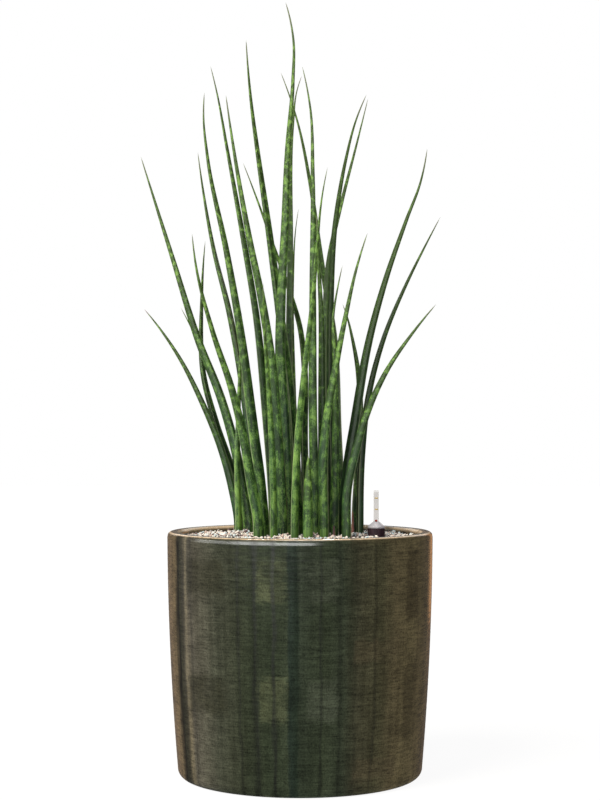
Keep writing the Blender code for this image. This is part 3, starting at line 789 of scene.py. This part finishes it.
# The pale lip edges are where the glaze drew back, made brighter as a painted highlight on the crest and
# the inner edge.
thin_glaze_and_highlight = add_node(tree, "Attribute", attribute_name="thin_glaze_and_highlight").outputs["Fac"]
uneven = add_node(tree, "MapRange", {0: runs, 1: 0.3, 2: 0.6, 3: 0.7, 4: 1.3})
drawn_back_and_highlight = add_node(tree, "Math", {0: thin_glaze_and_highlight, 1: uneven}, operation="MULTIPLY", use_clamp=True)
fired = laid_over(tree, patched, [
    (thin_share, thin_dark, "MULTIPLY"),
    (1.0, clouds, "MULTIPLY"),
    (1.0, brushed, "MULTIPLY"),
    (drawn_back_and_highlight, "#e2c8a6", "MIX"),
])
dullness = weighted_sum(tree, 0.36, [(thin_dark, -0.2), (runs, 0.1)])
ripple = add_node(tree, "Bump", {"Strength": 0.2, "Distance": 0.2 * MM, "Height": texture})
fill(tree, shader, {"Base Color": fired, "Roughness": dullness, "Normal": ripple,
                    "Specular IOR Level": 0.14})
print("glaze:", len(tree.nodes), "nodes")

# %% [markdown]
# Planter.
# A planter of this kind is thrown on a wheel, so it is one profile turned about the axis: up the inside,
# over the rounded lip, down the outside and under the foot. A potter trims the outside of the lip with a
# flat tool, which leaves a narrow band that leans back by some nine degrees. It is what catches the long
# pale light under the lip's edge. The wall carries faint throwing rings. A Screw modifier could turn the
# profile, but numpy also gives each point a value that is high on the edges of the lip, where the glaze
# drew back and where a painted highlight brightens the crest and the inner edge. The underside, which
# stands on the surface, is bare clay.

# %% Planter sizes
RIM_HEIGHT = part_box("planter")[1].z
RIM_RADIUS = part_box("planter")[1].x
FOOT_RADIUS = 138 * MM
WALL_BULGE = 11.6 * MM
WALL = 15 * MM
FLOOR = 14 * MM
LIP_ROUND = 5.5 * MM
FOOT_ROUND = 11 * MM
INSIDE_ROUND = 12 * MM
MIDDLE_RADIUS = 10 * MM
RING_DEPTH = 0.03 * MM
RING_SPACINGS = (7 * MM, 4.3 * MM)
SECOND_RINGS = 0.6
RING_FADE = 3 * MM
TRIM_FOOT = 271.6 * MM
TRIM_TOP = 274.9 * MM
TRIM_EDGE = 0.9 * MM
TRIM_LEAN = math.radians(9.3)
PLANTER_STEPS = 360


def outer_radius(height):
    """The wall's outside: a straight flare with a slight swell half way up."""
    share = height / RIM_HEIGHT
    return FOOT_RADIUS + (RIM_RADIUS - FOOT_RADIUS) * share + WALL_BULGE * share * (1 - share)


def thrown(height):
    """How far the rings cut into the wall: two sines whose spacings never line up. They fade out
    below the trimmed band."""
    first, second = (np.sin(2 * np.pi * height / spacing) for spacing in RING_SPACINGS)
    cut = 1 + SECOND_RINGS - first - SECOND_RINGS * second
    return RING_DEPTH * cut * np.clip((TRIM_FOOT - height) / RING_FADE, 0, 1)


print("rim:", round(2 * RIM_RADIUS, 4), "m across at", round(RIM_HEIGHT, 4), "m")

# %% Planter profile
lip_height = RIM_HEIGHT - LIP_ROUND
lip_outside = float(outer_radius(lip_height))
inside_foot = FLOOR + INSIDE_ROUND
inside_z = np.linspace(inside_foot, lip_height, 12)[1:-1]
outside_z = np.linspace(TRIM_FOOT, FOOT_ROUND, 180)[:-1]
trim_z = np.linspace(TRIM_TOP, TRIM_FOOT, 6)[:-1]
trim_r = outer_radius(TRIM_FOOT) - (trim_z - TRIM_FOOT) * math.tan(TRIM_LEAN)
lip_start = math.degrees(math.asin((TRIM_TOP + TRIM_EDGE - lip_height) / LIP_ROUND))
corner = (outer_radius(inside_foot) - WALL - INSIDE_ROUND, inside_foot)
foot = (outer_radius(FOOT_ROUND) - FOOT_ROUND, FOOT_ROUND)
profile = np.vstack([
    [(MIDDLE_RADIUS, FLOOR)],
    arc(corner, (INSIDE_ROUND, INSIDE_ROUND), -90, 0, 8),
    np.stack([outer_radius(inside_z) - WALL, inside_z], 1),
    arc((lip_outside - WALL + LIP_ROUND, lip_height), (LIP_ROUND, LIP_ROUND), 180, 90, 12),
    arc((lip_outside - LIP_ROUND, lip_height), (LIP_ROUND, LIP_ROUND), 90, lip_start, 10),
    np.stack([trim_r, trim_z], 1),
    np.stack([outer_radius(outside_z) - thrown(outside_z), outside_z], 1),
    arc(foot, (FOOT_ROUND, FOOT_ROUND), 0, -90, 10),
    [(MIDDLE_RADIUS, 0)],
])
print("profile points:", len(profile))

# %% Planter
# Fired clay without glaze is matt and tan.
bare_clay, tree, shader = new_material("bare_stoneware")
fill(tree, shader, {"Base Color": "#9a7f62", "Roughness": 0.85})

# The two edges of the lip where the glaze drew back, with their pale colour made brighter as a painted
# highlight: how far each lies from the wall's outside, its width, and how much of the pale colour shows.
LIP_EDGES_AND_HIGHLIGHT = [(2.9 * MM, 0.9 * MM, 1.0), (13.3 * MM, 1.5 * MM, 1.25)]
UNDERSIDE = 0.3 * MM

grid = turned(profile, PLANTER_STEPS)[:, ::-1]
mesh = grid_mesh("glazed_planter", grid)
radius = np.hypot(grid[:, :, 0], grid[:, :, 1])
lip_share = np.clip((grid[:, :, 2] - lip_height) / LIP_ROUND, 0, 1)
thinness_and_highlight = sum(
    strength * np.exp(-(((radius - lip_outside + inset) / width) ** 2)) * lip_share**0.5
    for inset, width, strength in LIP_EDGES_AND_HIGHLIGHT
)
point_values(mesh, "thin_glaze_and_highlight", thinness_and_highlight.ravel())
add_piece("glazed_planter", mesh, [glaze, bare_clay], nodes=["planter"])
middles = np.empty(len(mesh.polygons) * 3)
mesh.polygons.foreach_get("center", middles)
under = middles.reshape(-1, 3)[:, 2] < UNDERSIDE
mesh.polygons.foreach_set("material_index", under.astype(np.int32))
print("planter triangles:", 2 * len(mesh.polygons))

# %% [markdown]
# Granules.
# The bed is loose mineral granules of two to four millimetres: pumice and lava, washed pale,
# with some purplish brown ones. A particle system could scatter them, but then each stone would
# be a copy of the next. Here thousands of small stones lie on the bed, each dropped straight
# down onto the solid below it and half sunk. A stone has twenty faces, made uneven and squashed
# by its own random draw. One mesh holds each colour.

# %% Granule finishes
# Each row is a finish, its colour, the colour in its pores, and the share of the stones.
GRANULE_COLOURS = [
    ("cream_pumice", "#fff8ee", "#dccdbf", 0.42),
    ("blue_grey_pumice", "#e0f1f6", "#b0c2c8", 0.19),
    ("grey_pumice", "#c4bdb8", "#857e79", 0.10),
    ("purple_brown_lava", "#5f3f3d", "#33201e", 0.16),
    ("rosy_tan_pumice", "#e8cdc0", "#b59888", 0.13),
]
PORE_MM = 0.7


def granule_material(name, light, dark):
    """Washed pumice or lava: a rough, matt stone whose pores show as darker specks."""
    made, tree, shader = new_material(name)
    pores = spots(tree, add_node(tree, "TexCoord").outputs["Object"], (PORE_MM,) * 3)
    colour = add_node(tree, "ValToRGB", {0: pores}, stops=[(0.32, dark), (0.5, light)])
    pits = add_node(tree, "Bump", {"Strength": 0.4, "Distance": 0.3 * MM, "Height": pores})
    fill(tree, shader, {"Base Color": colour, "Normal": pits, "Roughness": 0.9})
    return made


granule_finishes = [granule_material(*row[:3]) for row in GRANULE_COLOURS]
bed_shade = granule_material("shade_between_granules", "#3c302a", "#1d1512")
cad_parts["granulate"].data.materials.clear()
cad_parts["granulate"].data.materials.append(bed_shade)
print("granule colours:", len(granule_finishes))

# %% Where the granules lie
# The stones start from a lattice of triangles, with a few more on a second layer, and each is
# moved aside by a random share of the spacing. Those in a leaf, in the gauge or in the wall go.
GRANULE_SPACING = 3.1 * MM
GRANULE_RADIUS = (1.1 * MM, 2.0 * MM)
MOVED_ASIDE = 0.42
SECOND_SHARE = 0.3
SECOND_RISE = 1.2 * MM
GAUGE_PLACE = np.array([86.5, -10]) * MM
GAUGE_RADIUS = 9.8 * MM
BED_HEIGHT = 270 * MM
WALL_GAP = 0.2 * MM
draw = np.random.default_rng(11)

rows = int(RIM_RADIUS / GRANULE_SPACING) + 2
column, row = np.meshgrid(np.arange(-rows, rows + 1), np.arange(-rows, rows + 1))
lattice = np.stack([column + 0.5 * (row % 2), row * math.sqrt(3) / 2], -1).reshape(-1, 2)
lattice *= GRANULE_SPACING
second = lattice[draw.random(len(lattice)) < SECOND_SHARE] + GRANULE_SPACING / 2
stone_places = np.vstack([lattice, second])
raised = np.concatenate([np.zeros(len(lattice)), np.full(len(second), SECOND_RISE)])
stone_places += draw.uniform(-MOVED_ASIDE, MOVED_ASIDE, stone_places.shape) * GRANULE_SPACING
size = draw.uniform(*GRANULE_RADIUS, len(stone_places))

bed_edge = outer_radius(BED_HEIGHT) - WALL
free = np.hypot(*stone_places.T) + size < bed_edge - WALL_GAP
free &= np.hypot(*(stone_places - GAUGE_PLACE).T) > GAUGE_RADIUS + 0.8 * size
for _, width, _, foot_depth, _, _, foot_x, _ in LEAVES:
    foot_place = leaf_place(foot_x, foot_depth)
    free &= np.hypot(*(stone_places - foot_place).T) > width / 2 * MM + 0.5 * size
stone_places, raised, size = stone_places[free], raised[free], size[free]
print("places free:", len(stone_places))

# %% Drop the granules
DROP_HEIGHT = 400 * MM
LOWEST_BED = 260 * MM

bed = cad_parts["granulate"].data
bed_points = [v.co for v in bed.vertices]
bed_tree = BVHTree.FromPolygons(bed_points, [p.vertices for p in bed.polygons])
hits = [bed_tree.ray_cast((x, y, DROP_HEIGHT), (0, 0, -1))[0] for x, y in stone_places]
level = np.array([hit.z if hit else 0 for hit in hits])
kept = level > LOWEST_BED
stone_places, raised, size, level = stone_places[kept], raised[kept], size[kept], level[kept]
print("granules:", len(stone_places))

# %% Shape the granules
ball = bmesh.new()
bmesh.ops.create_icosphere(ball, subdivisions=1, radius=1)
ball_points = np.array([v.co for v in ball.verts])
ball_faces = np.array([[v.index for v in f.verts] for f in ball.faces])
ball.free()


def turns(count):
    """Random rotation matrices, from random unit quaternions."""
    q = draw.normal(size=(count, 4))
    w, x, y, z = (q / np.linalg.norm(q, axis=1)[:, None]).T
    return np.stack([
        np.stack([1 - 2 * (y * y + z * z), 2 * (x * y - z * w), 2 * (x * z + y * w)], -1),
        np.stack([2 * (x * y + z * w), 1 - 2 * (x * x + z * z), 2 * (y * z - x * w)], -1),
        np.stack([2 * (x * z - y * w), 2 * (y * z + x * w), 1 - 2 * (x * x + y * y)], -1),
    ], 1)


UNEVEN = (0.78, 1.16)
SQUASHED = (0.7, 1.1)
ABOVE_BED = 0.35

count = len(stone_places)
uneven = ball_points[None] * draw.uniform(*UNEVEN, (count, len(ball_points), 1))
squashed = uneven * draw.uniform(*SQUASHED, (count, 1, 3))
stones = np.einsum("nij,nkj->nki", turns(count), squashed) * size[:, None, None]
stones += np.column_stack([stone_places, level + raised + ABOVE_BED * size])[:, None]
shares = np.cumsum([row[3] for row in GRANULE_COLOURS])
kind = np.searchsorted(shares, draw.random(count))
for index, (name, _, _, _) in enumerate(GRANULE_COLOURS):
    chosen = stones[kind == index]
    shift = np.arange(len(chosen))[:, None, None] * len(ball_points)
    faces = (ball_faces[None] + shift).reshape(-1, 3)
    mesh = bpy.data.meshes.new(f"{name}_granules")
    mesh.from_pydata(chosen.reshape(-1, 3).tolist(), [], faces.tolist())
    add_piece(f"{name}_granules", mesh, [granule_finishes[index]])
print("granule triangles:", count * len(ball_faces))

# %% [markdown]
# Water gauge.
# The gauge has a dark moulded tube down to the floor, a clear head with a slim sight tube, and a
# float whose red top shows in the sight tube. The tube's plastic is a thin wall that lets most of
# what is behind it through. The shoulder below it is moulded thicker, and looks milky. Two short
# yellow dashes are printed on the front of the sight tube. Every part is round, so each could be
# a few cylinders, but one turned profile has its bevels and its bore in one closed skin.

# %% Gauge finishes
# Moulded plastic with a matt skin, in which faint flow lines run up the tube.
dark_plastic, tree, shader = new_material("moulded_plum_abs")
grain = spots(tree, add_node(tree, "TexCoord").outputs["Object"], (2.5, 2.5, 12), 3.0)
plum = add_node(tree, "ValToRGB", {0: grain}, stops=[(0.35, "#2b1e25"), (0.7, "#3f2f37")])
fill(tree, shader, {"Base Color": plum, "Roughness": 0.55, "Specular IOR Level": 0.03})

# The tube's wall is too thin to bend what is behind it, so its index is near one, and all that it
# gives the eye is the faint grey of two walls, one behind the other. The shoulder is thick enough
# to scatter light, so it is milky and half seen through.
# Float and rod are plain glossy plastic and the marks are a print, each of one colour.
# Each row is a finish, its colour, its roughness, and its other inputs.
PLAIN_FINISHES = [
    ("clear_moulded_styrene", "#e6e4e2", 0.0, {"IOR": 1.01, "Transmission Weight": 1.0}),
    ("milky_moulded_styrene", "#dddbe4", 0.35, {"Specular IOR Level": 0.2, "Alpha": 0.65}),
    ("red_moulded_float", "#a82a10", 0.3, {}),
    ("white_float_rod", "#dcdce0", 0.4, {}),
    ("yellow_mark_paint", "#dcb84a", 0.5, {}),
]


def plain_finish(name, colour, roughness, more):
    """A material with one colour and roughness all over, and its other inputs."""
    made, tree, shader = new_material(name)
    fill(tree, shader, {"Base Color": colour, "Roughness": roughness, **more})
    return made


clear_plastic, milky_plastic, red_plastic, white_plastic, yellow_paint = (
    plain_finish(*row) for row in PLAIN_FINISHES
)
print("gauge finishes:", 1 + len(PLAIN_FINISHES))

# %% Gauge sizes
CHAMBER_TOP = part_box("gauge_chamber")[1].z
HEAD_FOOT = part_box("gauge_head")[0].z
SIGHT_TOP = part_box("gauge_head")[1].z
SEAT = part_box("gauge_chamber")[0].z
CHAMBER_BORE = 7.4 * MM
CHAMBER_ROUND = 0.8 * MM
SHOULDER_START = 284.2 * MM
SHOULDER_END = 289.8 * MM
SIGHT_RADIUS = 3.1 * MM
SIGHT_BORE = 2.7 * MM
SIGHT_BEVEL = 0.5 * MM
SIGHT_POLE = 0.3 * MM
HEAD_BEVEL = 0.5 * MM
HEAD_WALL = 1 * MM
MILKY_BELOW = SHOULDER_END - 1 * MM
GAUGE_STEPS = 64


def turned_piece(name, profile, materials, body=HOLDER, nodes=(), caps=(True, True),
                 steps=GAUGE_STEPS):
    """A profile that runs down its outer side, turned about the gauge's axis."""
    grid = turned(profile, steps, GAUGE_PLACE)[:, ::-1]
    return add_piece(name, grid_mesh(name, grid, caps=caps), materials, body, nodes)


print("tops of tube and head:", round(CHAMBER_TOP, 4), round(SIGHT_TOP, 4))

# %% Gauge tube and head
chamber_round = (GAUGE_RADIUS - CHAMBER_ROUND, CHAMBER_TOP - CHAMBER_ROUND)
chamber = np.vstack([
    [(CHAMBER_BORE, SEAT), (CHAMBER_BORE, CHAMBER_TOP)],
    arc(chamber_round, (CHAMBER_ROUND, CHAMBER_ROUND), 90, 0, 6),
    [(GAUGE_RADIUS, SEAT), (CHAMBER_BORE, SEAT)],
])
turned_piece("dark_gauge_tube", chamber, [dark_plastic],
             nodes=["gauge_chamber"], caps=(False, False))
sight_round = (SIGHT_RADIUS - SIGHT_BEVEL, SIGHT_TOP - SIGHT_BEVEL)
bore_top = SIGHT_TOP - 2 * HEAD_WALL
head = np.vstack([
    [(SIGHT_POLE, SIGHT_TOP)],
    arc(sight_round, (SIGHT_BEVEL, SIGHT_BEVEL), 90, 0, 5),
    [(SIGHT_RADIUS, SHOULDER_END + HEAD_BEVEL), (SIGHT_RADIUS + HEAD_BEVEL, SHOULDER_END - HEAD_BEVEL)],
    [(GAUGE_RADIUS - 0.6 * MM, SHOULDER_START + HEAD_BEVEL), (GAUGE_RADIUS, SHOULDER_START - 0.1 * MM)],
    [(GAUGE_RADIUS, HEAD_FOOT), (GAUGE_RADIUS - HEAD_WALL, HEAD_FOOT)],
    [(GAUGE_RADIUS - HEAD_WALL, SHOULDER_START - HEAD_WALL), (SIGHT_BORE, SHOULDER_END - HEAD_WALL)],
    [(SIGHT_BORE, bore_top), (SIGHT_POLE, bore_top)],
])
clear_head = turned_piece("clear_gauge_head", head, [clear_plastic, milky_plastic],
                          nodes=["gauge_head"])
middles = np.empty(len(clear_head.data.polygons) * 3)
clear_head.data.polygons.foreach_get("center", middles)
milky = middles.reshape(-1, 3)[:, 2] < MILKY_BELOW
clear_head.data.polygons.foreach_set("material_index", milky.astype(np.int32))
print("gauge head points:", len(head))

# %% Float and marks
FLOAT_RADIUS = 5.6 * MM
FLOAT_LENGTH = 52 * MM
FLOAT_ROUND = 1 * MM
ROD_RADIUS = 0.8 * MM
BEAD_RADIUS = 1.5 * MM
BEAD_HEIGHT = 290.3 * MM
MARK_HEIGHTS = (303.5 * MM, 316.2 * MM)
MARK_TALL = 1.3 * MM
MARK_THICK = 0.1 * MM
MARK_LIFT = 0.02 * MM
MARK_HALF_TURN = 34
MARK_ROWS = 13
ROD_STEPS = 32

float_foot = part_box("gauge_float")[0].z
float_top = float_foot + FLOAT_LENGTH
rod = np.vstack([
    [(ROD_RADIUS, BEAD_HEIGHT - BEAD_RADIUS)],
    [(ROD_RADIUS, float_top + FLOAT_RADIUS)],
    arc((FLOAT_RADIUS - FLOAT_ROUND, float_top - FLOAT_ROUND), (FLOAT_ROUND, FLOAT_ROUND), 90, 0, 5),
    arc((FLOAT_RADIUS - FLOAT_ROUND, float_foot + FLOAT_ROUND), (FLOAT_ROUND, FLOAT_ROUND), 0, -90, 5),
])
turned_piece("float_and_rod", rod, [white_plastic], FLOAT, ["gauge_float"],
             steps=ROD_STEPS)
bead = arc((0, BEAD_HEIGHT), (BEAD_RADIUS, BEAD_RADIUS), 85, -85, 14)
turned_piece("red_float_top", bead, [red_plastic], FLOAT, steps=ROD_STEPS)


def mark_grid(mark):
    """points[row, column] of a short printed dash: rows run round the front of the tube, and
    the four columns are the corners of its thin section."""
    turn = np.radians(np.linspace(-90 - MARK_HALF_TURN, -90 + MARK_HALF_TURN, MARK_ROWS))[:, None]
    radius = SIGHT_RADIUS + np.array([MARK_LIFT, MARK_THICK, MARK_THICK, MARK_LIFT])
    height = mark + MARK_TALL / 2 * np.array([-1, -1, 1, 1]) + 0 * turn
    x = GAUGE_PLACE[0] + radius * np.cos(turn)
    y = GAUGE_PLACE[1] + radius * np.sin(turn)
    return np.stack([x, y, height], -1)


for number, mark in enumerate(MARK_HEIGHTS, 1):
    mesh = grid_mesh(f"yellow_mark_{number}", mark_grid(mark))
    add_piece(f"yellow_mark_{number}", mesh, [yellow_paint])
print("gauge pieces made")

# %% [markdown]
# Roots.
# The root mass lies hidden in the bed, so a new surface would never be seen, and it keeps its
# solid. It gets the look of matted roots: pale brown, rough, with fibres drawn out downwards.

# %% Root finish
root_mat, tree, shader = new_material("matted_roots")
fibres = spots(tree, add_node(tree, "TexCoord").outputs["Object"], (1.7, 1.7, 17), 4.0)
brown = add_node(tree, "ValToRGB", {0: fibres}, stops=[(0.3, "#4a3423"), (0.7, "#a5855f")])
fill(tree, shader, {"Base Color": brown, "Roughness": 0.95})
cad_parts["root_mass"].data.materials.clear()
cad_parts["root_mass"].data.materials.append(root_mat)
print("roots dressed")

# %% [markdown]
# Studio.
# The photograph is lit softly from the left and above, on plain white. A broad soft sun does
# that here, since its light is even everywhere. The pale floor glows a little, so that it stays
# white up to the horizon, and gloss doesn't see it. The world is white to the camera and through
# the clear tube. To everything else it is a dim cool grey, so that the gaps between the leaves
# stay deep, and in gloss it is darker still. Bigger lamps could light the glaze, but would also
# flatten the leaves. So the panels in front, at the left, above and behind show in gloss only,
# and draw the long light under the lip. Two faint panels at the back tint the planter's sides.

# %% Floor and world
# The floor's half width in metres, and the world's strength to matt surfaces and in gloss.
FLOOR_HALF = 9
AMBIENT = 0.36
AMBIENT_IN_GLOSS = 0.12

floor_mesh = bpy.data.meshes.new("floor")
floor_corners = [(x * FLOOR_HALF, y * FLOOR_HALF, 0) for x, y in ((-1, -1), (1, -1), (1, 1), (-1, 1))]
floor_mesh.from_pydata(floor_corners, [], [(0, 1, 2, 3)])
floor = bpy.data.objects.new("floor", floor_mesh)
bpy.context.scene.collection.objects.link(floor)
pale_floor, tree, shader = new_material("pale_floor")
fill(tree, shader, {"Base Color": "#5e5e5e", "Roughness": 0.9, "Specular IOR Level": 0.0,
                    "Emission Color": "#ffffff", "Emission Strength": 0.93})
floor_mesh.materials.append(pale_floor)
floor.visible_glossy = False

world = bpy.data.worlds.new("studio")
bpy.context.scene.world = world
world.use_nodes = True
tree = world.node_tree
rays = add_node(tree, "LightPath").outputs
looking = {0: rays["Is Camera Ray"], 1: rays["Is Transmission Ray"]}
straight = add_node(tree, "Math", looking, operation="MAXIMUM")
around_it = add_node(tree, "MapRange", {0: rays["Is Glossy Ray"], 3: AMBIENT, 4: AMBIENT_IN_GLOSS})
strength = add_node(tree, "Mix", {0: straight, 2: around_it, 3: 1.0})
sky = laid_over(tree, "#f1f2f5", [(straight, "#ffffff", "MIX")])
fill(tree, tree.nodes["Background"], {"Strength": strength, "Color": sky})
bpy.context.scene.view_settings.view_transform = "Standard"
print("floor half width:", FLOOR_HALF, "m, ambient:", AMBIENT)

# %% Lights
# Each row is a panel, its place, the height on the axis that it is turned to, its power, its
# colour, its width and height, and whether it shows in gloss only.
PANELS = [
    ("front_strip", (-1.0, -2.3, 0.9), 0.27, 260, "#ffffff", (3.6, 0.6), True),
    ("left_strip", (-2.36, -0.42, 0.9), 0.27, 45, "#ffffff", (1.6, 0.6), True),
    ("top_strip", (0, 1.25, 2.3), 0.3, 120, "#ffffff", (0.9, 0.5), True),
    ("high_strip", (0, -0.3, 2.6), 0.3, 60, "#ffffff", (0.9, 0.5), True),
    ("left_panel", (-1.8, 0.84, 0.5), 0.3, 1.2, "#ffffff", (0.3, 1.6), False),
    ("right_panel", (1.0, 2.15, 0.5), 0.3, 2, "#ffb878", (0.4, 1.2), False),
    ("back_panel", (0, 2.4, 1.6), 0.3, 18, "#ffffff", (3.2, 1.2), True),
]


def add_light(name, kind, place, aim_height, power, colour, in_gloss_only, **settings):
    """A light at a place, turned to a point on the planter's axis. One that shows in gloss only
    draws a highlight on the glaze and the wax, and lights nothing else."""
    light = bpy.data.lights.new(name, kind)
    light.energy = power
    light.color = linear(colour)[:3]
    for key, value in settings.items():
        setattr(light, key, value)
    lamp = bpy.data.objects.new(name, light)
    lamp.location = place
    aim = Vector((0, 0, aim_height)) - lamp.location
    lamp.rotation_euler = aim.to_track_quat("-Z", "Y").to_euler()
    lamp.visible_diffuse = not in_gloss_only
    lamp.visible_transmission = False
    bpy.context.scene.collection.objects.link(lamp)


add_light("soft_sun", "SUN", (-1.5, -1.4, 2.2), 0.4, 3.3, "#fff8ec", False, angle=math.radians(35))
for name, place, aim_height, power, colour, (across, tall), in_gloss_only in PANELS:
    add_light(name, "AREA", place, aim_height, power, colour, in_gloss_only,
              shape="RECTANGLE", size=across, size_y=tall)
print("lights placed:", 1 + len(PANELS))
